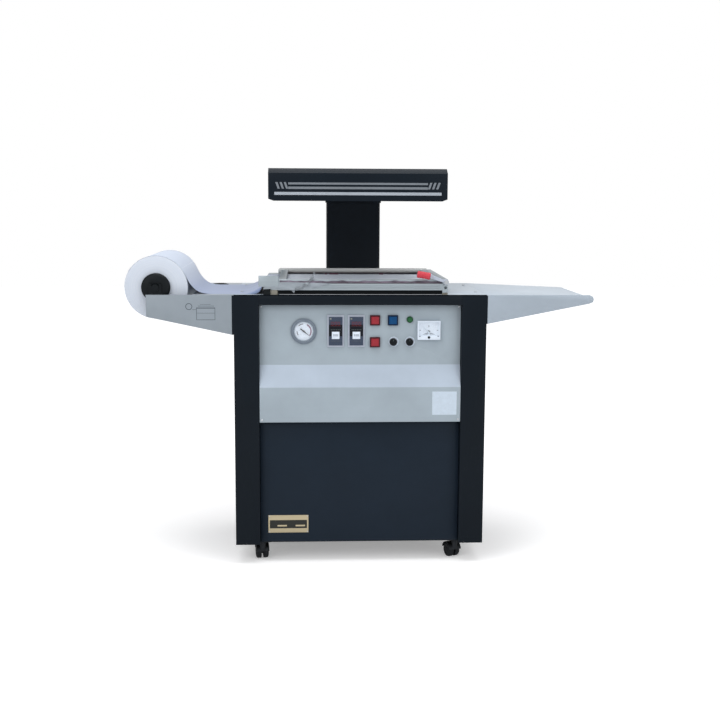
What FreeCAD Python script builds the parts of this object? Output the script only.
import FreeCAD, Part
import math
import os
import Sketcher

V = FreeCAD.Vector

# Driving dimensions in millimetres. Distances called "from the front" run back from the
# cabinet's front plane; heights run up from the floor.
SIZES = {
    # cabinet
    "front_plane": 329.65,
    "cabinet_width": 870,
    "cabinet_depth": 548,
    "base_height": 72,
    "table_height": 953,
    "sheet_gauge": 1.5,
    "table_gauge": 3,
    "upright_width": 85,
    "panel_recess": 28,
    "door_recess": 25,
    "return_width": 30,
    "rail_height": 32,
    "face_height": 210,
    "slope_height": 76,
    "apron_height": 122,
    "panel_gap": 1.5,
    "panel_tab": 14,
    "panel_fold": 12,
    "apron_fold": 18,
    "angle_leg": 34,
    "angle_gauge": 3,
    # side tables
    "shelf_reach": 731,
    "shelf_top_end": 575,
    "shelf_end_drop": 75,
    "shelf_root_drop": 137,
    "tray_reach": 806.6,
    "tray_top_end": 769,
    "tray_taper": 203,
    "tray_root_drop": 100,
    "tray_tip_drop": 30,
    "wall_gauge": 2,
    "lip_width": 18,
    "shelf_pad": 6,
    "tray_pad": 3,
    "pad_depth": 30,
    # film roll
    "roll_inset": 32,
    "roll_rise": 23,
    "roll_radius": 107.6,
    "roll_start": 30,
    "film_width": 425,
    "film_gauge": 0.8,
    "web_lift": 78.5,
    "core_inner": 38,
    "plug_radius": 49,
    "plug_flange": 20,
    "shaft_radius": 12.5,
    "shaft_play": 0.05,
    "seat_gap": 0.3,
    "holder_width": 41,
    "holder_rise": 36,
    "holder_drop": 34,
    "holder_gauge": 6,
    # vacuum platform
    "platform_half": 279,
    "platform_front": 5,
    "platform_rear_gap": 3,
    "platform_rise": 16,
    "rim_width": 24,
    "box_depth": 60,
    "vent_hole": 4,
    "vent_columns": 6,
    "vent_rows": 4,
    "vent_inset": 40,
    # film frame
    "frame_left": 334,
    "frame_right": 299,
    "frame_overhang": 4,
    "clamp_left": 281,
    "clamp_right": 278.5,
    "bar_width": 25,
    "bar_height": 23,
    "inlet_gauge": 11,
    "rail_rise": 53,
    "gasket_height": 3,
    "clamp_bar": 10,
    "stiffener_reach": 13,
    "stiffener_depth": 18,
    "stiffener_rise": 6,
    "stiffener_round": 8,
    "hinge_inset": 11,
    "hinge_rise": 47,
    "hinge_pin": 4,
    "hinge_spread": 180,
    "pin_play": 0.05,
    "rod_left": 297,
    "rod_right": 291,
    "rod_radius": 7,
    "rod_first": 90,
    "rod_rear_inset": 68,
    "rod_play": 0.05,
    "lift_travel": 240,
    "yoke_gauge": 12,
    # lever
    "lever_x": 291,
    "lever_rise": 45,
    "grip_length": 45,
    "grip_radius": 12,
    "grip_x": 210.2,
    "grip_rise": 56.5,
    "lever_tilt": 9,
    "guide_reach": 68,
    "guide_height": 37.5,
    "guide_gauge": 3,
    "yoke_inset": 45,
    "yoke_bar": 30,
    "rest_size": 24,
    # vacuum pump and electrical plate
    "pump_offset": 195,
    "pump_length": 230,
    "pump_back": 330,
    "pump_width": 160,
    "pump_height": 190,
    "motor_radius": 72,
    "motor_length": 210,
    "pipe_offset": 120,
    "pipe_back": 300,
    "pipe_radius": 17,
    "plate_left": 60,
    "plate_width": 270,
    "plate_height": 260,
    "plate_drop": 97,
    "contactor_depth": 80,
    # hood and column
    "hood_width": 616.6,
    "hood_shift": 8,
    "hood_front": 60,
    "hood_margin": 12,
    "hood_clearance": 317.5,
    "hood_height": 111,
    "hood_bend_drop": 16.5,
    "hood_slope": 30,
    "column_width": 208,
    "column_shift": 3,
    "column_depth": 100,
    "column_gap": 30,
    "column_drop": 453,
    "column_wall": 2.5,
    "flange_gauge": 8,
    "flange_lip": 3.5,
    "heater_radius": 5,
    "heater_count": 6,
    "heater_drop": 62,
    # front panel instruments
    "gauge_x": 196,
    "gauge_drop": 93,
    "gauge_radius": 44.5,
    "timer_x": 50,
    "timer_pitch": 71.6,
    "timer_drop": 92,
    "timer_width": 48,
    "timer_height": 100,
    "timer_border": 5,
    "timer_brow": 6,
    "timer_depth": 80,
    "timer_proud": 9,
    "button_x": 50.5,
    "button_pitch": 61.8,
    "button_drop": 54.7,
    "button_row_pitch": 76.2,
    "button_size": 35,
    "button_cap": 26,
    "button_stroke": 3,
    "lamp_x": 171.3,
    "lamp_drop": 52.6,
    "knob_drop": 130.7,
    "knob_x": 114.3,
    "knob_pitch": 56.5,
    "knob_radius": 13.4,
    "meter_x": 237.5,
    "meter_drop": 89.6,
    "meter_width": 79,
    "meter_height": 65.5,
    # casters
    "caster_x": 344,
    "caster_inset": 62,
    "caster_rear_inset": 44,
    "wheel_radius": 25,
    "wheel_width": 18,
    "web_gauge": 6,
    "wheel_gap": 1,
    "guard_gap": 2,
    "guard_gauge": 2.5,
    "stem_radius": 11,
    "caster_trail": 20,
    "caster_turn_left": 9,
    "caster_turn_right": 22,
    "axle_radius": 4,
}


class Size:
    """A number together with the spreadsheet expression that gives it."""

    def __init__(self, value, text):
        self.value = float(value)
        self.text = text

    def _join(self, other, sign, value, flip=False):
        text = other.text if isinstance(other, Size) else repr(float(other))
        left, right = (text, self.text) if flip else (self.text, text)
        return Size(value, f"({left} {sign} {right})")

    def __add__(self, other):
        return self._join(other, "+", self.value + float(other))

    def __radd__(self, other):
        return self._join(other, "+", float(other) + self.value, flip=True)

    def __sub__(self, other):
        return self._join(other, "-", self.value - float(other))

    def __rsub__(self, other):
        return self._join(other, "-", float(other) - self.value, flip=True)

    def __mul__(self, other):
        return self._join(other, "*", self.value * float(other))

    def __rmul__(self, other):
        return self._join(other, "*", float(other) * self.value, flip=True)

    def __truediv__(self, other):
        return self._join(other, "/", self.value / float(other))

    def __neg__(self):
        return Size(-self.value, f"(-1 * {self.text})")

    def __float__(self):
        return self.value


class Sheet:
    """Fills the spreadsheet and hands out its cells as sizes."""

    def __init__(self, document, sizes):
        self.sheet = document.addObject("Spreadsheet::Sheet", "Sizes")
        for row, (name, value) in enumerate(sizes.items(), start=1):
            self.sheet.set(f"A{row}", name)
            self.sheet.set(f"B{row}", str(value))
            self.sheet.setAlias(f"B{row}", name)
        document.recompute()

    def __getattr__(self, name):
        return Size(self.sheet.get(name), f"Sizes.{name}")


doc = FreeCAD.newDocument("skin_packaging_machine")
S = Sheet(doc, SIZES)
nodes = []


# Helpers

def bind(obj, prop, size):
    """Set a property from a size, or from a plain number."""
    if isinstance(size, Size):
        obj.setExpression(prop, size.text)
    else:
        obj.setExpression(prop, repr(float(size)))


def place(obj, x=0, y=0, z=0):
    for axis, size in zip("xyz", (x, y, z)):
        bind(obj, f"Placement.Base.{axis}", size)
    return obj


def back(distance):
    """Place along Y of something that lies this far behind the cabinet's front plane."""
    return distance - S.front_plane


def box(x, y, z):
    """Block between two limits on each axis."""
    obj = doc.addObject("Part::Box", "Block")
    for prop, (low, high) in zip(("Length", "Width", "Height"), (x, y, z)):
        bind(obj, prop, high - low)
    return place(obj, x[0], y[0], z[0])


AXES = {"X": V(0, 1, 0), "Y": V(-1, 0, 0), "Z": V(0, 0, 1)}


def turn_to(obj, axis):
    """Turn a Z-wise primitive so that it runs along the named axis."""
    angle = 0 if axis == "Z" else 90
    obj.Placement.Rotation = FreeCAD.Rotation(AXES[axis], angle)


def bar(axis, radius, start, end, across):
    """Round bar along an axis between two limits; across gives its other two coordinates."""
    obj = doc.addObject("Part::Cylinder", "Bar")
    turn_to(obj, axis)
    bind(obj, "Radius", radius)
    bind(obj, "Height", end - start)
    first, second = across
    at = {"X": (start, first, second), "Y": (first, start, second), "Z": (first, second, start)}
    return place(obj, *at[axis])


def fuse(*parts):
    obj = doc.addObject("Part::MultiFuse", "Joined")
    obj.Shapes = list(parts)
    obj.Refine = True
    return obj


def cut(base, *tools):
    obj = doc.addObject("Part::Cut", "Cut")
    obj.Base = base
    obj.Tool = tools[0] if len(tools) == 1 else fuse(*tools)
    return obj


def group(*parts):
    """Several separate solids that share one node."""
    obj = doc.addObject("Part::Compound", "Group")
    obj.Links = list(parts)
    return obj


def origin_plane(body, role):
    return next(item for item in body.Origin.OriginFeatures if item.Role == role)


def flat_point(pair):
    return V(float(pair[0]), float(pair[1]), 0)


def outline(body, plane, points):
    """Closed sketch through the points, each held by its two coordinates."""
    sketch = body.newObject("Sketcher::SketchObject", "Outline")
    sketch.AttachmentSupport = [(origin_plane(body, plane + "_Plane"), "")]
    sketch.MapMode = "FlatFace"
    count = len(points)
    for index in range(count):
        here, there = points[index], points[(index + 1) % count]
        line = Part.LineSegment(flat_point(here), flat_point(there))
        sketch.addGeometry(line, False)
    for index in range(count):
        sketch.addConstraint(Sketcher.Constraint("Coincident", index, 2, (index + 1) % count, 1))
    for index, point in enumerate(points):
        for kind, size in zip(("DistanceX", "DistanceY"), point):
            number = sketch.addConstraint(Sketcher.Constraint(kind, -1, 1, index, 1, float(size)))
            if isinstance(size, Size):
                sketch.setExpression(f"Constraints[{number}]", size.text)
    return sketch


def prism(plane, points, start, end):
    """Body padded from an outline, from start to end along the plane's third axis."""
    body = doc.addObject("PartDesign::Body", "Profile")
    sketch = outline(body, plane, points)
    pad = body.newObject("PartDesign::Pad", "Pad")
    pad.Profile = sketch
    bind(pad, "Length", end - start)
    # The XZ plane faces -Y, so its pad runs forward from the far limit.
    shift = {"XY": (0, 0, start), "XZ": (0, end, 0), "YZ": (start, 0, 0)}[plane]
    return place(body, *shift)


def spun(axis, profile, at):
    """Body turned about an axis through a place; the profile gives (along, radius) points."""
    body = doc.addObject("PartDesign::Body", "Turned")
    sketch = outline(body, "XZ", profile)
    turned = body.newObject("PartDesign::Revolution", "Turn")
    turned.Profile = sketch
    turned.ReferenceAxis = (sketch, ["H_Axis"])
    turned.Angle = 360
    rotation = {
        "X": FreeCAD.Rotation(),
        "Y": FreeCAD.Rotation(V(0, 0, 1), 90),
        "Z": FreeCAD.Rotation(V(0, 1, 0), -90),
    }
    body.Placement.Rotation = rotation[axis]
    return place(body, *at)


def node(obj, label):
    obj.Label = label
    nodes.append(obj)
    return obj


def ring(x, y, z, width):
    """Flat rectangular ring of one bar width."""
    inner_x = (x[0] + width, x[1] - width)
    inner_y = (y[0] + width, y[1] - width)
    return cut(box(x, y, z), box(inner_x, inner_y, (z[0] - 1, z[1] + 1)))


# Shared places

half = S.cabinet_width / 2
front = back(0)
rear = back(S.cabinet_depth)
under_table = S.table_height - S.table_gauge
gauge = S.sheet_gauge
frame_foot = S.table_height + S.platform_rise
film_plane = frame_foot + S.bar_height
inlet_low = film_plane - S.inlet_gauge
pad_left = -S.rod_left - S.rest_size / 2
rail_top = S.table_height + S.rail_rise
rail_left = S.clamp_right + 1
lip_edge = half - S.upright_width
opening_top = under_table - S.rail_height
slope_top = opening_top - S.face_height
slope_bottom = slope_top - S.slope_height
opening_bottom = slope_bottom - S.apron_height
platform_rear = S.cabinet_depth - S.platform_rear_gap
frame_rear = S.cabinet_depth + S.frame_overhang
hinge_back = frame_rear - S.hinge_inset
column_front = S.cabinet_depth + S.column_gap
hood_rear = column_front + S.column_depth + S.hood_margin
hood_bottom = S.table_height + S.hood_clearance
hood_top = hood_bottom + S.hood_height
hood_bend = hood_top - S.hood_bend_drop
column_foot = S.table_height - S.column_drop


# Cabinet

def side_panel(label, side):
    """Side sheet folded round into the upright, with a tab inside and pads for a side table."""
    tab = back(S.panel_recess) + gauge
    points = [
        (side * half, front),
        (side * lip_edge, front),
        (side * lip_edge, tab),
        (side * (lip_edge - S.panel_tab), tab),
        (side * (lip_edge - S.panel_tab), tab + gauge),
        (side * (lip_edge + gauge), tab + gauge),
        (side * (lip_edge + gauge), front + gauge),
        (side * (half - gauge), front + gauge),
        (side * (half - gauge), rear - gauge),
        (side * (half - S.return_width), rear - gauge),
        (side * (half - S.return_width), rear),
        (side * half, rear),
    ]
    sheet = prism("XY", points, S.base_height, under_table)
    gap, drop = (S.shelf_pad, S.shelf_root_drop) if side < 0 else (S.tray_pad, S.tray_root_drop)
    across = sorted((side * half, side * (half + gap)), key=float)
    level = (S.table_height - drop, S.table_height - S.wall_gauge)
    pads = [
        box(across, span, level)
        for span in ((front, front + S.pad_depth), (rear - S.pad_depth, rear))
    ]
    node(fuse(sheet, *pads), label)


def front_top_rail():
    """Folded channel that closes the front above the control panel."""
    reach = S.panel_recess
    points = [
        (front, opening_top),
        (front, under_table),
        (back(reach), under_table),
        (back(reach), under_table - gauge),
        (front + gauge, under_table - gauge),
        (front + gauge, opening_top + gauge),
        (back(reach), opening_top + gauge),
        (back(reach), opening_top),
    ]
    node(prism("YZ", points, -lip_edge, lip_edge), "front_top_rail")


def cabinet_frame():
    """Welded angle frame inside the panels: four posts, two rings and a floor pan."""
    leg = S.angle_leg
    thick = S.angle_gauge
    inner = half - gauge
    low_y = front + gauge
    high_y = rear - gauge
    base = S.base_height
    sill = back(S.panel_recess) + gauge * 2
    rail_roof = under_table - gauge
    parts = []
    for side in (-1, 1):
        across = sorted((side * inner, side * (inner - leg)), key=float)
        wall = sorted((side * inner, side * (inner - thick)), key=float)
        for low, high, near in ((low_y, low_y + leg, low_y), (high_y - leg, high_y, high_y - thick)):
            parts.append(box(across, (near, near + thick), (base, under_table)))
            parts.append(box(wall, (low, high), (base, under_table)))
        for level in (base, under_table - leg):
            parts.append(box(wall, (low_y, high_y), (level, level + leg)))
        for level in (base, under_table - thick):
            parts.append(box(across, (low_y, high_y), (level, level + thick)))
    parts.append(box((-inner, inner), (sill, sill + leg), (base, base + thick)))
    parts.append(box((-inner, inner), (high_y - leg, high_y), (base, base + thick)))
    parts.append(box((-inner, inner), (high_y - thick, high_y), (base, base + leg)))
    # The front rail's folded channel holds this member, so it is set down by the sheet's gauge.
    channel = (-lip_edge + gauge, lip_edge - gauge)
    parts.append(box((-inner, inner), (low_y, low_y + thick), (opening_top + 2 * gauge, rail_roof)))
    parts.append(box(channel, (low_y, low_y + 22), (rail_roof - thick, rail_roof)))
    parts.append(box((-inner, inner), (high_y - leg + 8, high_y), (under_table - thick, under_table)))
    pan = box((-inner + 1, inner - 1), (sill, high_y - thick), (base + thick, base + thick + S.wall_gauge))
    slots = []
    for side in (-1, 1):
        span = (side * lip_edge - 10, side * lip_edge + 10)
        slots.append(box(span, (low_y - 1, sill), (base - 1, under_table + 1)))
    node(cut(fuse(*parts, pan), *slots), "cabinet_frame")


def rear_panel():
    """Back sheet with rows of ventilation slots."""
    inner = half - S.return_width
    level = S.base_height + 4
    sheet = box((-inner, inner), (rear - gauge, rear), (level, opening_top))
    slots = []
    slot_reach = 70
    for row in range(6):
        height = level + 90 + row * 26
        for side in (-1, 1):
            centre = side * inner / 2
            span = (centre - slot_reach, centre + slot_reach)
            slots.append(box(span, (rear - gauge - 1, rear + 1), (height, height + 8)))
    node(cut(sheet, *slots), "rear_panel")


def lower_front_panel():
    """Recessed lower sheet with folded edges that seat on the side panels' tabs."""
    inner = lip_edge - S.panel_gap
    near = back(S.door_recess)
    low = S.base_height + 4
    high = opening_bottom - S.panel_gap
    seat = back(S.panel_recess) + gauge
    points = [
        (-inner, near),
        (inner, near),
        (inner, seat),
        (inner - gauge, seat),
        (inner - gauge, near + gauge),
        (-inner + gauge, near + gauge),
        (-inner + gauge, seat),
        (-inner, seat),
    ]
    node(prism("XY", points, low, high), "lower_front_panel")


def control_panel():
    """Control sheet: a set-back instrument face, a sloping band and a flush lower face."""
    inner = lip_edge - S.panel_gap
    set_back = back(S.panel_recess)
    proud = front + 1
    low = opening_bottom
    high = opening_top - S.panel_gap
    fold = S.apron_fold
    points = [
        (set_back, high),
        (set_back, slope_top),
        (proud, slope_bottom),
        (proud, low),
        (proud + fold, low),
        (proud + fold, low + gauge),
        (proud + gauge, low + gauge),
        (proud + gauge, slope_bottom),
        (set_back + gauge, slope_top),
        (set_back + gauge, high - gauge),
        (set_back + S.panel_fold, high - gauge),
        (set_back + S.panel_fold, high),
    ]
    sheet = prism("YZ", points, -inner, inner)
    deep = (set_back - 1, set_back + gauge + 1)
    tools = [bar("Y", gauge_case + S.seat_gap, *deep, (-S.gauge_x, gauge_z))]
    for x in timer_places:
        across = (x - timer_half, x + timer_half)
        tools.append(box(across, deep, (timer_z - timer_tall, timer_z + timer_tall)))
    for x, z in button_places:
        tools.append(bar("Y", button_barrel + S.seat_gap, *deep, (x, z)))
    tools.append(bar("Y", lamp_barrel + S.seat_gap, *deep, (S.lamp_x, lamp_z)))
    for x in knob_places:
        tools.append(bar("Y", pot_barrel + S.seat_gap, *deep, (x, knob_z)))
    tools.append(bar("Y", meter_barrel + S.seat_gap, *deep, (S.meter_x, meter_z)))
    # The top fold stops short of the side panels' tabs and leaves room for the vacuum box.
    tab_end = lip_edge - S.panel_tab - S.panel_gap
    box_end = box_half + S.panel_gap
    fold_depth = (set_back + gauge, set_back + S.panel_fold + 1)
    for span in ((-lip_edge, -tab_end), (-box_end, box_end), (tab_end, lip_edge)):
        tools.append(box(span, fold_depth, (high - gauge, high + 1)))
    node(cut(sheet, *tools), "control_panel")


def table_top():
    """Worktop sheet with the opening for the vacuum box and the four rod holes."""
    level = (under_table, S.table_height)
    sheet = box((-half, half), (front, rear), level)
    deep = (under_table - 1, S.table_height + 1)
    well = box((-box_half - 1, box_half + 1), (box_front - 1, box_rear + 1), deep)
    holes = [bar("Z", bushing_radius + S.seat_gap, *deep, place_xy) for place_xy in rod_places]
    node(cut(sheet, well, *holes), "table_top")


# Side tables

window_inset = 60


def film_table():
    """Film-side shelf: a flat top over two deep side walls that carry the roll."""
    top = S.table_height
    wall = S.wall_gauge
    reach = S.shelf_reach
    root_x = -half - S.shelf_pad
    profile = [
        (-reach, top),
        (-reach, top - S.shelf_end_drop),
        (root_x, top - S.shelf_root_drop),
        (root_x, top),
    ]
    near = prism("XZ", profile, front, front + wall)
    far = prism("XZ", profile, rear - wall, rear)
    deck = box((-S.shelf_top_end, -half), (front, rear), (top - wall, top))
    hang = box((-S.shelf_top_end, -S.shelf_top_end + wall), (front, rear), (top - S.lip_width, top))
    root = box((root_x - wall, root_x), (front, rear), (top - S.shelf_root_drop + 8, top))
    window = box(
        (root_x - wall - 1, root_x + 1),
        (back(window_inset), rear - window_inset),
        (top - S.shelf_root_drop + 30, top - 30),
    )
    lips = []
    for edge, deep in ((front, 1), (rear, -1)):
        span = sorted((edge, edge + deep * S.lip_width), key=float)
        lips.append(box((-reach, -reach + wall), span, (top - S.shelf_end_drop, top - 40)))
    node(fuse(near, far, deck, hang, cut(root, window), *lips), "film_table")


def exit_tray():
    """Exit-side tray: its plan narrows towards the tip, with matching side walls."""
    top = S.table_height
    wall = S.wall_gauge
    tip = S.tray_reach
    end = S.tray_top_end
    rise = S.tray_root_drop - S.tray_tip_drop
    root_x = half + S.tray_pad
    end_drop = S.tray_root_drop - rise * (end - root_x) / (tip - root_x)
    tail = rear - S.tray_taper
    deck = prism("XY", [(half, front), (end, front), (end, tail), (half, rear)], top - wall, top)
    nose = S.tray_tip_drop / 2
    near = prism(
        "XZ",
        [
            (root_x, top),
            (root_x, top - S.tray_root_drop),
            (tip - nose, top - S.tray_tip_drop),
            (tip - 3, top - S.tray_tip_drop + 5),
            (tip, top - nose),
            (tip - 3, top - 6),
            (tip - nose, top),
        ],
        front,
        front + wall,
    )
    hang = box((end - wall, end), (front, tail), (top - S.lip_width, top))
    root = box((root_x, root_x + wall), (front, rear), (top - S.tray_root_drop, top))
    # The far wall follows the slanted rear edge, so it is cut from a block by the wall's own outline.
    slant = prism(
        "XY",
        [
            (half, rear - wall * 1.2),
            (end, tail - wall * 1.2),
            (end, tail),
            (half, rear),
        ],
        top - S.tray_root_drop,
        top,
    )
    rake = prism(
        "XZ",
        [
            (root_x, top + 1),
            (root_x, top - S.tray_root_drop),
            (end, top - end_drop),
            (end + 1, top - end_drop),
            (end + 1, top + 1),
        ],
        back(0),
        rear + 1,
    )
    far = doc.addObject("Part::Common", "Wall")
    far.Base = slant
    far.Tool = rake
    window = box(
        (root_x - 1, root_x + wall + 1),
        (back(window_inset), rear - window_inset),
        (top - S.tray_root_drop + 20, top - 30),
    )
    node(fuse(deck, near, hang, cut(root, window), far), "exit_tray")


# Film roll

roll_x = -(S.shelf_reach - S.roll_inset)
roll_z = S.table_height + S.roll_rise
roll_at = (roll_x, roll_z)
roll_near = back(S.roll_start)
roll_far = roll_near + S.film_width


def film_roll():
    """Film wound on its tube, the shaft through it and the two black end plugs."""
    wound = bar("Y", S.roll_radius, roll_near, roll_far, roll_at)
    node(cut(wound, bar("Y", S.core_inner, roll_near - 1, roll_far + 1, roll_at)), "film_roll")
    node(bar("Y", S.shaft_radius, back(-2), rear + 2, roll_at), "roll_shaft")
    plugs = []
    bore = S.shaft_radius + S.shaft_play
    for end, out in ((roll_near, -1), (roll_far, 1)):
        along = [
            (-out * S.plug_flange, bore),
            (-out * S.plug_flange, S.core_inner - 3),
            (0, S.core_inner - S.seat_gap),
            (0, S.plug_radius),
            (out * (S.plug_flange - 6), S.plug_radius),
            (out * S.plug_flange, S.plug_radius - 8),
            (out * S.plug_flange, bore),
        ]
        plugs.append(spun("Y", along, (roll_at[0], end, roll_at[1])))
    node(group(*plugs), "roll_plugs")


def ribbon(points, gauge_mm):
    """Outline of a thin sheet that follows the points, with its thickness on the left hand."""
    far_side = []
    last = len(points) - 1
    for index, (x, z) in enumerate(points):
        before, after = points[max(index - 1, 0)], points[min(index + 1, last)]
        run, rise = float(after[0]) - float(before[0]), float(after[1]) - float(before[1])
        length = math.hypot(run, rise)
        far_side.append((x - gauge_mm * rise / length, z + gauge_mm * run / length))
    return points + far_side[::-1]


def film_web():
    """Film on its way from the roll, over the shelf and up to the frame's rounded inlet."""
    deck = S.table_height
    drop_x, drop_z = roll_at[0] + S.roll_radius * 0.874, roll_at[1] + S.roll_radius * 0.497
    inlet = -S.frame_left + S.inlet_gauge / 2
    level = film_plane + 0.05
    rise = level - deck
    lift_x = inlet - S.web_lift
    run = lift_x - drop_x
    fall = drop_z - deck
    points = [(drop_x, drop_z)]
    for along, height in ((0.066, 0.66), (0.141, 0.356), (0.227, 0.145), (0.328, 0.033)):
        points.append((drop_x + run * along, deck + fall * height))
    points += [
        (drop_x + run * 0.43, deck + 0.05),
        (lift_x, deck + 0.05),
        (lift_x + S.web_lift * 0.26, deck + rise * 0.2),
        (lift_x + S.web_lift * 0.64, deck + rise * 0.72),
        (lift_x + S.web_lift * 0.82, deck + rise * 0.93),
        (inlet - 2, level),
        (-S.clamp_left - 0.5, level),
    ]
    node(prism("XZ", ribbon(points, S.film_gauge), roll_near, roll_far), "film_web")


def roll_holders():
    """Black slotted brackets that the shaft drops into, one on each side wall."""
    width = S.holder_width
    x = roll_x
    top = S.table_height + S.holder_rise
    low = S.table_height - S.holder_drop
    slot = S.shaft_radius + S.shaft_play
    brackets = []
    for wall_face, deep in ((front + S.wall_gauge, 1), (rear - S.wall_gauge, -1)):
        span = sorted((wall_face, wall_face + deep * S.holder_gauge), key=float)
        plate = box((x - width / 2, x + width / 2), span, (low, top))
        reach = (span[0] - 1, span[1] + 1)
        mouth = box((x - slot, x + slot), reach, (roll_z, top + 1))
        brackets.append(cut(plate, mouth, bar("Y", slot, *reach, roll_at)))
    node(group(*brackets), "roll_holders")


# Places of the lifting rods

rod_second = S.cabinet_depth - S.rod_rear_inset
rod_places = [
    (x, back(y)) for x in (-S.rod_left, S.rod_right) for y in (S.rod_first, rod_second)
]
bushing_radius = S.rod_radius + 4
bushing_depth = 40
rod_foot = S.table_height - bushing_depth - S.lift_travel - S.yoke_gauge - 20


# Vacuum platform

flange_reach = 27
box_half = S.platform_half - flange_reach
box_front = back(S.platform_front + flange_reach)
box_rear = back(platform_rear - flange_reach)
rim_inner = S.platform_half - S.rim_width
rim_near = back(S.platform_front + S.rim_width)
rim_far = back(platform_rear - S.rim_width)
pipe_x = -S.pipe_offset
pipe_y = back(S.pipe_back)


def vacuum_box():
    """Shallow welded box that hangs in the table's opening by its flange, with a ribbed floor."""
    top = S.table_height
    thick = S.wall_gauge
    floor = top - S.box_depth
    depth = (back(S.platform_front), back(platform_rear))
    flange = box((-S.platform_half, S.platform_half), depth, (top, top + thick))
    shell = box((-box_half, box_half), (box_front, box_rear), (floor, top + thick))
    hollow = box(
        (-box_half + thick, box_half - thick),
        (box_front + thick, box_rear - thick),
        (floor + thick, top + thick + 1),
    )
    ribs = []
    for number in (1, 2, 3):
        x = -box_half + number * box_half / 2
        ribs.append(box((x - thick, x + thick), (box_front, box_rear), (floor + 20, top + thick)))
    port = bar("Z", S.pipe_radius, floor - 1, floor + thick + 1, (pipe_x, pipe_y))
    node(cut(fuse(cut(fuse(flange, shell), hollow), *ribs), port), "vacuum_box")


def perforated_plate():
    """Platform plate with a grid of suction holes."""
    level = S.table_height + S.wall_gauge
    body = prism(
        "XY",
        [
            (-rim_inner + S.seat_gap, rim_near + S.seat_gap),
            (rim_inner - S.seat_gap, rim_near + S.seat_gap),
            (rim_inner - S.seat_gap, rim_far - S.seat_gap),
            (-rim_inner + S.seat_gap, rim_far - S.seat_gap),
        ],
        level,
        level + 5,
    )
    doc.recompute()
    sketch = body.newObject("Sketcher::SketchObject", "FirstHole")
    sketch.AttachmentSupport = [(origin_plane(body, "XY_Plane"), "")]
    sketch.MapMode = "FlatFace"
    first_x = -rim_inner + S.vent_inset
    first_y = rim_near + S.vent_inset
    circle = Part.Circle(flat_point((first_x, first_y)), V(0, 0, 1), float(S.vent_hole))
    sketch.addGeometry(circle, False)
    for kind, size in (("DistanceX", first_x), ("DistanceY", first_y)):
        number = sketch.addConstraint(Sketcher.Constraint(kind, -1, 1, 0, 3, float(size)))
        sketch.setExpression(f"Constraints[{number}]", size.text)
    number = sketch.addConstraint(Sketcher.Constraint("Radius", 0, float(S.vent_hole)))
    sketch.setExpression(f"Constraints[{number}]", S.vent_hole.text)
    hole = body.newObject("PartDesign::Pocket", "Hole")
    hole.Profile = sketch
    hole.Type = "ThroughAll"
    hole.Reversed = True
    doc.recompute()
    grid = body.newObject("PartDesign::MultiTransform", "Grid")
    grid.Originals = [hole]
    steps = []
    spans = (
        ("H_Axis", -2 * first_x, S.vent_columns),
        ("V_Axis", rim_far - rim_near - 2 * S.vent_inset, S.vent_rows),
    )
    for axis, length, count in spans:
        step = body.newObject("PartDesign::LinearPattern", "Step")
        step.Direction = (sketch, [axis])
        bind(step, "Length", length)
        bind(step, "Occurrences", count)
        steps.append(step)
    grid.Transformations = steps
    body.Tip = grid
    node(body, "perforated_plate")


def platform_seal():
    level = S.table_height + S.wall_gauge
    rim = ring(
        (-S.platform_half, S.platform_half),
        (back(S.platform_front), back(platform_rear)),
        (level, frame_foot),
        S.rim_width,
    )
    node(rim, "platform_seal")


# Vacuum pump and its pipe

pump_y = back(S.pump_back)
pump_x = -S.pump_offset
pump_floor = S.base_height + S.angle_gauge + S.wall_gauge
case_left = pump_x - S.pump_length / 2
case_right = pump_x + S.pump_length / 2
case_top = pump_floor + S.pump_height
port_radius = S.pipe_radius * 1.5
port_low = case_top + 25
port_high = port_low + S.pipe_radius * 1.8


def vacuum_pump():
    """Rotary vane pump block: oil case, finned cylinder head, exhaust box and inlet port."""
    reach = S.pump_width / 2
    ledge = S.pump_width * 0.09
    foot_span = (pump_y - reach - ledge, pump_y + reach + ledge)
    case_low = pump_floor + ledge
    foot = box((case_left - ledge, case_right), foot_span, (pump_floor, case_low))
    case = box((case_left, case_right), (pump_y - reach, pump_y + reach), (case_low, case_top))
    quarter = S.pump_length / 4
    head_span = (pump_y - reach + ledge, pump_y + reach - ledge)
    head = box((pump_x - quarter, pump_x + quarter), head_span, (case_top, port_low))
    fins = []
    fin_count = 7
    fin_pitch = S.pump_length / fin_count
    fin_span = (pump_y - reach - ledge * 0.7, pump_y + reach + ledge * 0.7)
    for step in range(fin_count):
        x = case_left + fin_pitch * (step + 0.4)
        fins.append(box((x, x + fin_pitch * 0.2), fin_span, (case_low + ledge, case_top - ledge)))
    port = bar("Z", port_radius, port_low, port_high, (pipe_x, pipe_y))
    saddle = bar("Z", port_radius * 1.25, case_top, port_low + 4, (pipe_x, pipe_y))
    node(fuse(foot, case, head, *fins, saddle, port), "vacuum_pump")


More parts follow.
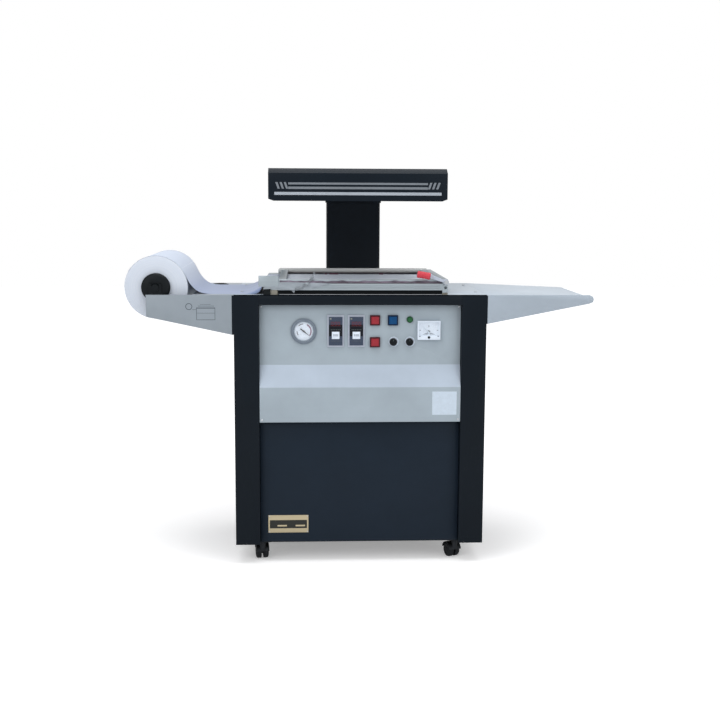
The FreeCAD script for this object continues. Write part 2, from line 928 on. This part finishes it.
def pump_motor():
    """Motor on its feet, with a fan cowl at the end and a terminal box on top."""
    start = case_right
    end = start + S.motor_length
    part = S.motor_length / 7
    radius = S.motor_radius
    height = pump_floor + S.pump_height / 2
    barrel = bar("X", radius, start, end, (pump_y, height))
    cowl = bar("X", radius * 1.08, end - part * 1.5, end + part / 2, (pump_y, height))
    foot_top = pump_floor + radius / 6
    feet = box((start + part, start + part * 5), (pump_y - radius, pump_y + radius), (pump_floor, foot_top))
    web_reach = radius * 0.55
    web_span = (pump_y - web_reach, pump_y + web_reach)
    web = box((start + part * 1.3, start + part * 4.7), web_span, (foot_top, height - radius * 0.7))
    lid = height + radius * 1.4
    terminal_span = (pump_y - radius * 0.6, pump_y + radius * 0.6)
    terminal = box((start + part * 1.7, start + part * 4.3), terminal_span, (lid - radius * 0.55, lid))
    node(fuse(barrel, cowl, feet, web, terminal), "pump_motor")


def vacuum_pipe():
    """Straight riser from the pump's port to the vacuum box, with a flange at each end."""
    high = S.table_height - S.box_depth
    riser = bar("Z", S.pipe_radius, port_high, high, (pipe_x, pipe_y))
    union = bar("Z", port_radius, port_high, port_high + port_radius, (pipe_x, pipe_y))
    flange = bar("Z", S.pipe_radius * 2, high - 6, high, (pipe_x, pipe_y))
    bore = bar("Z", S.pipe_radius - 3, port_high - 1, high + 1, (pipe_x, pipe_y))
    node(cut(fuse(riser, union, flange), bore), "vacuum_pipe")


def electrical_plate():
    """Mounting plate on the rear frame with contactors, transformer and terminal strip."""
    near = rear - gauge - S.angle_leg - 8
    high = rod_foot - S.yoke_gauge - S.plate_drop
    low = high - S.plate_height
    left = S.plate_left
    right = left + S.plate_width
    parts = [box((left, right), (near, near + S.wall_gauge), (low, high))]
    rail_tall = 12
    for level in (low + rail_tall, high - rail_tall * 2):
        parts.append(box((left, right), (near + S.wall_gauge, rear - gauge), (level, level + rail_tall)))
    contactor = S.plate_width / 6
    deep = (near - S.contactor_depth, near)
    row = (high - contactor * 2.4, high - contactor * 0.8)
    for number in range(3):
        x = left + contactor * (0.45 + number * 1.22)
        parts.append(box((x, x + contactor), deep, row))
    parts.append(box((right - contactor * 1.65, right - contactor * 0.22), deep, row))
    strip = (low + contactor * 0.9, low + contactor * 1.65)
    parts.append(box((left + contactor * 0.45, right - contactor * 0.45), (near - contactor, near), strip))
    node(fuse(*parts), "electrical_plate")


# Film frame on its lifting rods

def lower_frame():
    """Lower film frame: four bars, a rounded inlet edge, a tall right rail and two hinge lugs."""
    low, high = frame_foot, film_plane
    near, far = front, back(frame_rear)
    width = S.bar_width
    base = ring((-S.clamp_left - 4, S.frame_right), (near, far), (low, high), width)
    nose_radius = S.inlet_gauge / 2
    nose_at = -S.frame_left + nose_radius
    inlet = box((nose_at, -S.clamp_left), (near, far), (inlet_low, high))
    nose = bar("Y", nose_radius, near, far, (nose_at, high - nose_radius))
    feet = [
        box((pad_left, -S.clamp_left), (y - S.rest_size / 2, y + S.rest_size / 2), (low, inlet_low))
        for y in (back(8) + S.rest_size / 2, back(S.rod_first), back(rod_second))
    ]
    rail = box((rail_left, S.frame_right), (near, far), (low, rail_top))
    block = box((rail_left, S.frame_right), (near, near + 30), (S.table_height + block_drop, rail_top))
    parts = [base, inlet, nose, rail, block, *feet]
    hinge_y = back(hinge_back)
    hinge_z = S.table_height + S.hinge_rise
    for side in (-1, 1):
        for edge in (-17, 11):
            x = side * S.hinge_spread + edge
            parts.append(box((x, x + 6), (hinge_y - 7, far), (high, hinge_z)))
            parts.append(bar("X", 7, x, x + 6, (hinge_y, hinge_z)))
    body = fuse(*parts)
    tools = [bar("Y", 5, near - 1, near + 20, (S.lever_x - 1, S.table_height + 25))]
    groove = 2
    for level in (low + 7, low + 14):
        span = (-S.clamp_left, S.clamp_right - 6)
        tools.append(box(span, (near - 1, near + groove), (level, level + groove)))
    for side in (-1, 1):
        x = side * S.hinge_spread
        tools.append(bar("X", S.hinge_pin, x - 18, x + 18, (hinge_y, hinge_z)))
    tools.append(bar("Y", stud_radius, near - 1, near + 16, (S.lever_x, lever_z)))
    node(cut(body, *tools), "lower_frame")


def clamp_frame():
    """Upper frame that nips the film; ears at the back turn on the hinge pins."""
    low = film_plane + 1 + S.gasket_height
    high = low + S.clamp_bar
    near = front
    far = back(hinge_back - 11)
    width = S.bar_width
    base = ring((-S.clamp_left, S.clamp_right), (near, far), (low, high), width)
    end = -S.clamp_left - S.stiffener_reach
    depth = (far - S.stiffener_depth, far)
    ridge = high + S.stiffener_rise
    bend = S.stiffener_round
    stiff = [
        box((end + bend, S.clamp_right), depth, (low, ridge)),
        box((end, S.clamp_right), depth, (low, ridge - bend)),
        bar("Y", bend, *depth, (end + bend, ridge - bend)),
        box((end, S.clamp_right), (far - 4, far), (film_plane + 1, ridge - bend)),
    ]
    hinge_y = back(hinge_back)
    hinge_z = S.table_height + S.hinge_rise
    ears = []
    bores = []
    for side in (-1, 1):
        x = side * S.hinge_spread
        ears.append(box((x - 10, x + 10), (far - 2, hinge_y), (hinge_z - 4, hinge_z + 6)))
        ears.append(bar("X", 6.5, x - 10, x + 10, (hinge_y, hinge_z)))
        bores.append(bar("X", S.hinge_pin + S.pin_play, x - 11, x + 11, (hinge_y, hinge_z)))
    node(cut(fuse(base, *stiff, *ears), *bores), "clamp_frame")
    gasket_width = 14
    inset = 5
    seal = ring(
        (-S.clamp_left + inset, S.clamp_right - inset),
        (near + inset - 4, far - inset),
        (film_plane + 1, low),
        gasket_width,
    )
    node(seal, "film_gasket")
    pins = []
    for side in (-1, 1):
        x = side * S.hinge_spread
        pins.append(bar("X", S.hinge_pin, x - 19, x + 19, (hinge_y, hinge_z)))
    stud = bar("Y", stud_radius, back(-18), back(16), (S.lever_x, lever_z))
    head = bar("Y", 7, back(-18), back(-14.3), (S.lever_x, lever_z))
    node(group(*pins, fuse(stud, head)), "pivot_pins")


def film_sheet():
    """Film stretched between the two frames."""
    node(
        box((-S.clamp_left, S.clamp_right), (roll_near, roll_far), (film_plane, film_plane + S.film_gauge)),
        "film_sheet",
    )


def lifting_gear():
    """Four guide rods, their flanged bushings in the table and the yoke that ties them."""
    rods = []
    bushings = []
    for x, y in rod_places:
        rods.append(bar("Z", S.rod_radius, rod_foot, frame_foot, (x, y)))
        sleeve = bar("Z", bushing_radius, under_table - bushing_depth, S.table_height, (x, y))
        collar = bar("Z", bushing_radius + 4, under_table - 6, under_table, (x, y))
        bore_radius = S.rod_radius + S.rod_play
        bore = bar("Z", bore_radius, under_table - bushing_depth - 1, S.table_height + 1, (x, y))
        bushings.append(cut(fuse(sleeve, collar), bore))
    node(group(*rods), "guide_rods")
    node(group(*bushings), "rod_bushings")
    low, high = rod_foot - S.yoke_gauge, rod_foot
    bars = []
    side_span = (back(S.rod_first - 18), back(rod_second + 18))
    for x in (-S.rod_left, S.rod_right):
        bars.append(box((x - S.yoke_bar / 2, x + S.yoke_bar / 2), side_span, (low, high)))
    cross_at = back(rod_second - S.yoke_inset)
    cross = (cross_at - S.yoke_bar / 2, cross_at + S.yoke_bar / 2)
    bars.append(box((-S.rod_left, S.rod_right), cross, (low, high)))
    node(fuse(*bars), "lift_yoke")


lever_z = S.table_height + S.lever_rise
grip_z = S.table_height + S.grip_rise
lever_pivot = (S.lever_x, lever_z, float(S.lever_tilt))
lever_near = back(-14)
lever_far = back(-2)
grip_y = back(-18.7)
spindle_radius = 6
stud_radius = 4
block_drop = 8


def tilted(obj, x, z, angle):
    """Turn an object about the front-to-back axis through a place, and keep that place."""
    turn = math.radians(angle)
    obj.Placement.Rotation = FreeCAD.Rotation(V(0, 1, 0), angle)
    along, up = math.cos(turn), math.sin(turn)
    return place(obj, x - (x * along + z * up), 0, z - (z * along - x * up))


def lever():
    """Tapered lever arm on a stud in the frame's front corner, with a red sleeve grip."""
    grip_start = S.grip_x - S.grip_length / 2
    grip_end = S.grip_x + S.grip_length / 2
    arm_half = 7
    hub = bar("Y", 9, lever_near, lever_far, (S.lever_x, lever_z))
    arm = prism(
        "XZ",
        [
            (S.lever_x, lever_z + 5),
            (S.lever_x, lever_z - 4),
            (grip_end, grip_z - arm_half),
            (grip_end, grip_z + arm_half),
        ],
        lever_near,
        lever_far,
    )
    knuckle = box((grip_end, grip_end + 6), (grip_y - 6, lever_far), (grip_z - arm_half, grip_z + arm_half))
    spindle = bar("X", spindle_radius, grip_start + 6, grip_end + 3, (grip_y, grip_z))
    bore = bar("Y", stud_radius + S.pin_play, lever_near - 1, lever_far + 1, (S.lever_x, lever_z))
    node(tilted(cut(fuse(hub, arm, knuckle, spindle), bore), *lever_pivot), "cam_lever")
    sleeve = cut(
        bar("X", S.grip_radius, grip_start, grip_end, (grip_y, grip_z)),
        bar("X", spindle_radius + 0.1, grip_start + 5, grip_end + 1, (grip_y, grip_z)),
    )
    node(tilted(sleeve, *lever_pivot), "lever_grip")


def film_guide_plate():
    """Light plate on the frame's front that keeps the film's edge straight at the inlet."""
    span = (-S.clamp_left - S.guide_reach, -S.clamp_left)
    level = (inlet_low, inlet_low + S.guide_height)
    plate = box(span, (front - S.guide_gauge, front), level)
    node(plate, "film_guide_plate")


def rests():
    """Pads that the frame's front corners rest on, and the switch that senses the frame."""
    table = S.table_height
    span = (back(8), back(8 + S.rest_size))
    left = box((pad_left, pad_left + S.rest_size), span, (table, frame_foot))
    right = box((rail_left, S.frame_right), span, (table, table + block_drop))
    node(group(left, right), "rest_pads")
    switch_left = -S.frame_left + 1
    switch_top = inlet_low - 2.3
    body = box((switch_left, pad_left - S.seat_gap), (back(2), back(22)), (table, switch_top))
    plunger = bar("Z", 3, switch_top, inlet_low, (switch_left + 12, back(12)))
    node(fuse(body, plunger), "frame_switch")


# Hood and column

hood_low = -S.hood_width / 2 - S.hood_shift
hood_high = S.hood_width / 2 - S.hood_shift


def hood_shell():
    """Folded hood: closed top and sides, open below over the platform, floor over the column."""
    wall = S.wall_gauge
    near, far = back(S.hood_front), back(hood_rear)
    low, high = hood_bottom, hood_top
    outer = [
        (near, low),
        (near, hood_bend),
        (near + S.hood_slope, high),
        (far, high),
        (far, low),
    ]
    inner = [
        (near + wall, low - 1),
        (near + wall, hood_bend - wall / 2),
        (near + S.hood_slope + wall / 2, high - wall),
        (far - wall, high - wall),
        (far - wall, low - 1),
    ]
    skin = prism("YZ", outer, hood_low, hood_high)
    shell = cut(skin, prism("YZ", inner, hood_low + wall, hood_high - wall))
    floor = box((hood_low + 1, hood_high - 1), (back(column_front - 8), far - 1), (low, low + wall))
    corners = []
    for edge, side in ((hood_low, -1), (hood_high, 1)):
        points = [(edge + side, low - 1), (edge - side * 21, low - 1), (edge + side, low + 7)]
        corners.append(prism("XZ", points, near - 1, back(column_front - 9)))
    node(cut(fuse(shell, floor), *corners), "hood_shell")


def heaters():
    """Polished reflector tray; its end walls carry the heating tubes."""
    wall = S.wall_gauge
    near = back(S.hood_front + 14)
    far = back(column_front - 22)
    low_x, high_x = hood_low + 12, hood_high - 12
    level = hood_top - wall - 30
    tube_z = hood_top - S.heater_drop
    tray = box((low_x, high_x), (near, far), (tube_z - 24, level))
    hollow = box((low_x + gauge, high_x - gauge), (near + gauge, far - gauge), (tube_z - 25, level - gauge))
    posts = []
    for x in (low_x + 60, high_x - 70):
        for y in (near + 60, far - 70):
            posts.append(box((x, x + 10), (y, y + 10), (level - 1, hood_top - wall)))
    pitch = (far - near - 2 * 50) / (S.heater_count - 1)
    places = [near + 50 + pitch * number for number in range(int(float(S.heater_count)))]
    holes = [bar("X", S.heater_radius + 0.1, low_x - 1, high_x + 1, (y, tube_z)) for y in places]
    node(cut(fuse(cut(tray, hollow), *posts), *holes), "heat_reflector")
    tubes = [bar("X", S.heater_radius, low_x - 6, high_x + 6, (y, tube_z)) for y in places]
    node(group(*tubes), "heater_tubes")


def column():
    """Folded box column with a flange under the hood, welded to two rails behind the cabinet."""
    left, right = -S.column_width / 2 - S.column_shift, S.column_width / 2 - S.column_shift
    near = back(column_front)
    far = near + S.column_depth
    wall = S.column_wall
    bend = 6
    top = hood_bottom - S.flange_gauge
    points = [
        (left + bend, near),
        (right - bend, near),
        (right, near + bend),
        (right, far),
        (left, far),
        (left, near + bend),
    ]
    inner = [
        (left + bend + 1, near + wall),
        (right - bend - 1, near + wall),
        (right - wall, near + bend + 1),
        (right - wall, far - wall),
        (left + wall, far - wall),
        (left + wall, near + bend + 1),
    ]
    tube = cut(prism("XY", points, column_foot, top), prism("XY", inner, column_foot - 1, top + 1))
    lip = S.flange_lip
    flange = box((left - lip, right + lip), (near - lip, far + lip), (top, hood_bottom))
    span = half - 60
    rails = [
        box((-span, span), (rear, near), (level, level + 40))
        for level in (column_foot + 30, opening_top - 30)
    ]
    node(fuse(tube, flange, *rails), "column")


# Instruments

face = back(S.panel_recess)
gauge_z = opening_top - S.gauge_drop
timer_z = opening_top - S.timer_drop
button_z = opening_top - S.button_drop
lamp_z = opening_top - S.lamp_drop
knob_z = opening_top - S.knob_drop
meter_z = opening_top - S.meter_drop
gauge_case = 38
timer_half = S.timer_width / 2 - 1
timer_tall = S.timer_height / 2 - 2.5
button_barrel = 11
lamp_barrel = 8
pot_barrel = 5
meter_barrel = 26
timer_places = (-S.timer_x - S.timer_pitch / 2, -S.timer_x + S.timer_pitch / 2)
button_places = (
    (S.button_x, button_z),
    (S.button_x, button_z - S.button_row_pitch),
    (S.button_x + S.button_pitch, button_z),
)
button_names = ("red_button_upper", "red_button_lower", "blue_button")
knob_places = (S.knob_x, S.knob_x + S.knob_pitch)
knob_names = ("knob_left", "knob_right")
windows = []


def vacuum_gauge():
    """Round gauge: flanged case with a recessed dial, a clear window and a pointer on its arbor."""
    x, z = -S.gauge_x, gauge_z
    dial = -1
    case = spun(
        "Y",
        [
            (0, 0),
            (0, S.gauge_radius),
            (-4, S.gauge_radius),
            (-7, S.gauge_radius - 5),
            (-7, S.gauge_radius - 10),
            (dial, S.gauge_radius - 10),
            (dial, 0),
        ],
        (x, face, z),
    )
    barrel = bar("Y", gauge_case, face, face + 30, (x, z))
    post = bar("Y", 10, face + 30, face + 52, (x, z))
    node(cut(fuse(case, barrel, post), bar("Y", 1.2, face - 4, face + 6, (x, z))), "vacuum_gauge")
    windows.append(bar("Y", S.gauge_radius - 10.3, face - 6.8, face - 5.3, (x, z)))
    hand = prism(
        "XZ",
        [
            (x + 21.2, z - 16.7),
            (x + 0.9, z + 1.2),
            (x - 8.3, z + 9.6),
            (x - 11.3, z + 5.8),
            (x - 0.9, z - 1.2),
        ],
        face - 3.6,
        face - 2.6,
    )
    arbor = bar("Y", 1.15, face - 3.6, face + 5, (x, z))
    cap = bar("Y", 3.4, face - 4.4, face - 2.6, (x, z))
    node(fuse(hand, arbor, cap), "gauge_pointer")


def timers():
    """Two panel timers in light mounting frames."""
    units = []
    for x in timer_places:
        wide = S.timer_width / 2
        tall = S.timer_height / 2
        across = (x - wide - S.timer_border, x + wide + S.timer_border)
        upright = (timer_z - tall - S.timer_brow, timer_z + tall + S.timer_brow)
        bezel = box(across, (face - 4, face), upright)
        lens = box((x - wide, x + wide), (face - S.timer_proud, face - 3), (timer_z - tall, timer_z + tall))
        inner = (x - timer_half + S.seat_gap, x + timer_half - S.seat_gap)
        depth = (face - 1, face + S.timer_depth)
        body = box(inner, depth, (timer_z - timer_tall + S.seat_gap, timer_z + timer_tall - S.seat_gap))
        units.append(fuse(bezel, lens, body))
    node(group(*units), "timers")


def buttons():
    """Square push-buttons: fixed frame with barrel, sprung cap in a square well."""
    frames = []
    for (x, z), name in zip(button_places, button_names):
        edge = S.button_size / 2
        cap = S.button_cap / 2
        rim = box((x - edge, x + edge), (face - 9, face), (z - edge, z + edge))
        well = cap + S.seat_gap
        hollow = box((x - well, x + well), (face - 10, face - 2), (z - well, z + well))
        barrel = bar("Y", button_barrel, face, face + 38, (x, z))
        stem_hole = bar("Y", 4, face - 3, face + 16, (x, z))
        frames.append(cut(fuse(rim, barrel), hollow, stem_hole))
        crown = box((x - cap, x + cap), (face - 11.5, face - 2.3 - S.button_stroke), (z - cap, z + cap))
        stem = bar("Y", 4 - S.pin_play, face - 6, face + 10, (x, z))
        node(fuse(crown, stem), name)
    node(group(*frames), "button_frames")


def pilot_lamp():
    x, z = S.lamp_x, lamp_z
    bezel = spun(
        "Y",
        [(0, 0), (0, 11.5), (-3, 11.5), (-4.5, 9.5), (-9, 8.5), (-11.5, 6), (-12.5, 0)],
        (x, face, z),
    )
    node(fuse(bezel, bar("Y", lamp_barrel, face - 1, face + 28, (x, z))), "pilot_lamp")


def knobs():
    """Control knobs on potentiometers; each knob's skirt is fluted."""
    pots = []
    for x, name in zip(knob_places, knob_names):
        z = knob_z
        dial = bar("Y", 16, face - 1.2, face, (x, z))
        nut = bar("Y", pot_barrel, face - 5, face + 8, (x, z))
        can = bar("Y", 12, face + S.sheet_gauge, face + 22, (x, z))
        bore = bar("Y", 3 + S.pin_play, face - 6, face + 12, (x, z))
        pots.append(cut(fuse(dial, nut, can), bore))
        skirt = spun(
            "Y",
            [
                (-1.5, 6),
                (-1.5, S.knob_radius),
                (-4, S.knob_radius),
                (-15, S.knob_radius - 1.5),
                (-16, S.knob_radius - 3),
                (-16, 0),
                (-6, 0),
                (-6, 6),
            ],
            (x, face, z),
        )
        flutes = []
        for step in range(10):
            angle = math.radians(36 * step)
            reach = S.knob_radius + 0.6
            at = (x + reach * math.cos(angle), z + reach * math.sin(angle))
            flutes.append(bar("Y", 1.6, face - 17, face - 5, at))
        shaft = bar("Y", 3, face - 8, face + 10, (x, z))
        node(fuse(cut(skirt, *flutes), shaft), name)
    node(group(*pots), "potentiometers")


def panel_meter():
    """Rectangular meter: case with a recessed scale, clear cover and a pointer."""
    x, z = S.meter_x, meter_z
    wide, tall = S.meter_width / 2, S.meter_height / 2
    case = box((x - wide, x + wide), (face - 12, face), (z - tall, z + tall))
    barrel = bar("Y", meter_barrel, face, face + 42, (x, z))
    dish = box((x - wide + 4, x + wide - 4), (face - 13, face - 4), (z - tall + 14, z + tall - 4))
    socket = bar("Y", 1.2, face - 5, face + 4, (x, z - 8))
    node(cut(fuse(case, barrel), dish, socket), "panel_meter")
    cover = box(
        (x - wide + 4 + S.seat_gap, x + wide - 4 - S.seat_gap),
        (face - 12, face - 10.5),
        (z - tall + 14 + S.seat_gap, z + tall - 4 - S.seat_gap),
    )
    windows.append(cover)
    node(group(*windows), "instrument_windows")
    pivot_z = z - 8
    needle = prism(
        "XZ",
        [
            (x - 1.6, pivot_z - 1.6),
            (x + 1.6, pivot_z + 1.6),
            (x - 21.4, pivot_z + 22.2),
            (x - 22.2, pivot_z + 21.4),
        ],
        face - 8,
        face - 7,
    )
    hub = bar("Y", 3.2, face - 8.6, face - 6.4, (x, pivot_z))
    arbor = bar("Y", 1.15, face - 7, face + 3, (x, pivot_z))
    node(fuse(needle, hub, arbor), "meter_pointer")


# Casters

caster_front = back(S.caster_inset)
caster_rear = back(S.cabinet_depth - S.caster_rear_inset)
caster_places = {
    "front_left": (-S.caster_x, caster_front),
    "front_right": (S.caster_x, caster_front),
    "rear_left": (-S.caster_x, caster_rear),
    "rear_right": (S.caster_x, caster_rear),
}


caster_turns = {
    "front_left": float(S.caster_turn_left),
    "front_right": float(S.caster_turn_right),
}


def caster_fork(x, y, top, swivel):
    """Moulded carrier: stem boss, wheel guard and the middle web that holds the axle."""
    wheel_y = y + S.caster_trail if swivel else y
    axle_at = (wheel_y, S.wheel_radius)
    web = S.web_gauge / 2
    reach = web + S.wheel_gap + S.wheel_width + 1
    well = S.wheel_radius + S.guard_gap
    guard = bar("X", well + S.guard_gauge, x - reach, x + reach, axle_at)
    stem = bar("Z", S.stem_radius, S.wheel_radius, top, (x, y))
    hollows = [
        bar("X", well, x + web, x + reach + 1, axle_at),
        bar("X", well, x - reach - 1, x - web, axle_at),
        box(
            (x - reach - 1, x + reach + 1),
            (wheel_y - 2 * S.wheel_radius, wheel_y + 2 * S.wheel_radius),
            (-S.wheel_radius, S.wheel_radius + 6),
        ),
    ]
    eye_radius = S.axle_radius + 5
    eye = bar("X", eye_radius, x - web, x + web, axle_at)
    neck = box((x - web, x + web), (wheel_y - eye_radius, wheel_y + eye_radius), (S.wheel_radius, well * 1.6))
    hole = bar("X", S.axle_radius + S.pin_play, x - web - 1, x + web + 1, axle_at)
    return cut(fuse(cut(fuse(guard, stem), *hollows), eye, neck), hole), wheel_y


def swung(obj, x, y, angle):
    """Turn an object about the upright axis through a place, and keep that place where it is."""
    turn = math.radians(angle)
    obj.Placement.Rotation = FreeCAD.Rotation(V(0, 0, 1), angle)
    along, across = math.cos(turn), math.sin(turn)
    return place(obj, x - (x * along - y * across), y - (x * across + y * along))


def caster_wheel(x, y, label, pivot, angle):
    """Pair of wheels with rounded treads on one axle, turned with their carrier."""
    radius = S.wheel_radius
    inner = S.web_gauge / 2 + S.wheel_gap
    outer = inner + S.wheel_width
    pair = []
    for side in (-1, 1):
        profile = [
            (side * inner, 0),
            (side * inner, radius - 1),
            (side * (inner + 1), radius),
            (side * (outer - 6), radius),
            (side * (outer - 2), radius - 2),
            (side * outer, radius - 6),
            (side * outer, radius - 9),
            (side * (outer - 2), radius - 10),
            (side * (outer - 2), S.axle_radius + 4),
            (side * outer, S.axle_radius + 3),
            (side * outer, 0),
        ]
        pair.append(spun("X", profile, (x, y, radius)))
    axle = bar("X", S.axle_radius, x - inner - 1, x + inner + 1, (y, radius))
    node(swung(fuse(*pair, axle), *pivot, angle), label)


def casters():
    """Swivel casters at the front, rigid ones at the rear, all on four mounting plates."""
    mounts = []
    for name, (x, y) in caster_places.items():
        swivel = name.startswith("front")
        angle = caster_turns.get(name, 0)
        plate = box((x - 30, x + 30), (y - 24, y + 24), (S.base_height - 3, S.base_height))
        if swivel:
            pivot = bar("Z", 5, S.base_height - 11, S.base_height - 3, (x, y))
            race = bar("Z", 16, S.base_height - 6, S.base_height - 3, (x, y))
            mounts.append(fuse(plate, race, pivot))
            fork, wheel_y = caster_fork(x, y, S.base_height - 6.5, True)
            hole = bar("Z", 5 + S.pin_play, S.base_height - 14, S.base_height - 3, (x, y))
            node(swung(cut(fork, hole), x, y, angle), "caster_fork_" + name)
        else:
            fork, wheel_y = caster_fork(x, y, S.base_height - 1, False)
            mounts.append(fuse(plate, fork))
        caster_wheel(x, wheel_y, "caster_wheel_" + name, (x, y), angle)
    node(group(*mounts), "caster_mounts")


def build():
    side_panel("side_panel_left", -1)
    side_panel("side_panel_right", 1)
    front_top_rail()
    cabinet_frame()
    rear_panel()
    lower_front_panel()
    control_panel()
    table_top()
    film_table()
    exit_tray()
    film_roll()
    film_web()
    roll_holders()
    vacuum_box()
    perforated_plate()
    platform_seal()
    vacuum_pump()
    pump_motor()
    vacuum_pipe()
    electrical_plate()
    lower_frame()
    clamp_frame()
    film_sheet()
    lifting_gear()
    lever()
    film_guide_plate()
    rests()
    hood_shell()
    heaters()
    column()
    vacuum_gauge()
    timers()
    buttons()
    pilot_lamp()
    knobs()
    panel_meter()
    casters()


def check_and_write():
    doc.recompute()
    faults = []
    for obj in doc.Objects:
        if any(word in ("Invalid", "Error") for word in obj.State):
            faults.append(f"{obj.Name} {obj.State}")
    for obj in nodes:
        if obj.Shape.isNull() or not obj.Shape.isValid() or not obj.Shape.Solids:
            faults.append(f"{obj.Label} has no valid solid")
    if faults:
        raise RuntimeError("; ".join(faults))
    os.makedirs("parts", exist_ok=True)
    for obj in nodes:
        obj.Shape.exportStep(os.path.join("parts", obj.Label + ".step"))
    print(len(nodes), "nodes written")


build()
check_and_write()
